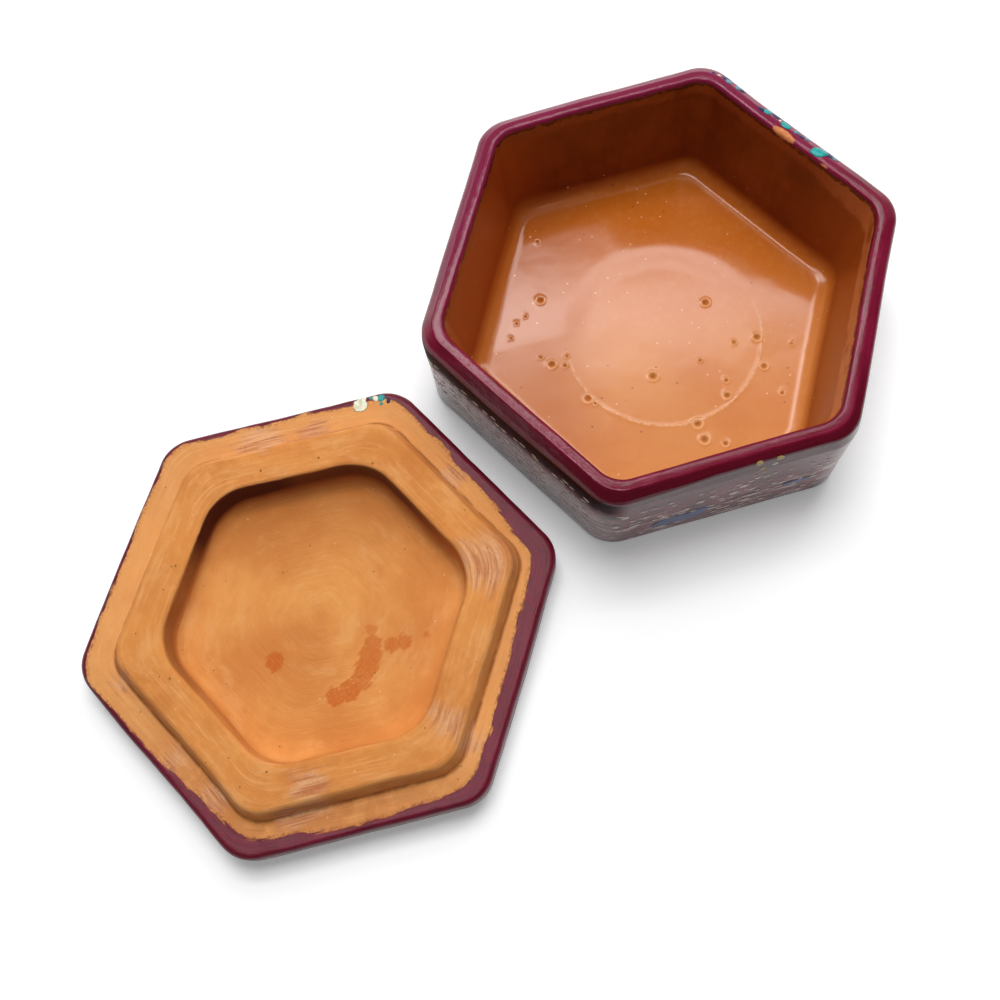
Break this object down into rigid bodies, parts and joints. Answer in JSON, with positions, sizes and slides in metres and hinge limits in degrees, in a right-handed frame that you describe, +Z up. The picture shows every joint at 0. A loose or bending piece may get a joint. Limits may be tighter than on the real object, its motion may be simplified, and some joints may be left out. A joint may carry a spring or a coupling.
{
  "type": "hexagonal trinket box",
  "caption": "Hand-painted earthenware trinket box: a shallow hexagonal bowl with a glazed inside, and a loose lid that turns over onto it.",
  "frame": {"origin": "middle of the box's flat underside", "axes": "+Z up, out of the box's mouth; +X along the box's flats' normal, away from the lid, which lies beside the box on -X; +Y by the right-hand rule"},
  "size_m": [0.1872, 0.1058, 0.03],
  "materials": {
    "painted_clay": "gloss",
    "bare_clay": "matte"
  },
  "bodies": {
    "box": {"box": "painted_clay"},
    "lid": {"lid": "bare_clay"}
  },
  "joints": [
    {"name": "lid_turns_over", "type": "hinge", "parent": "box", "child": "lid", "pos_m": [-0.04822, 0.00156, 0.01915], "axis": [0.0323, 0.9995, 0], "range_deg": [0, 180]}
  ]
}
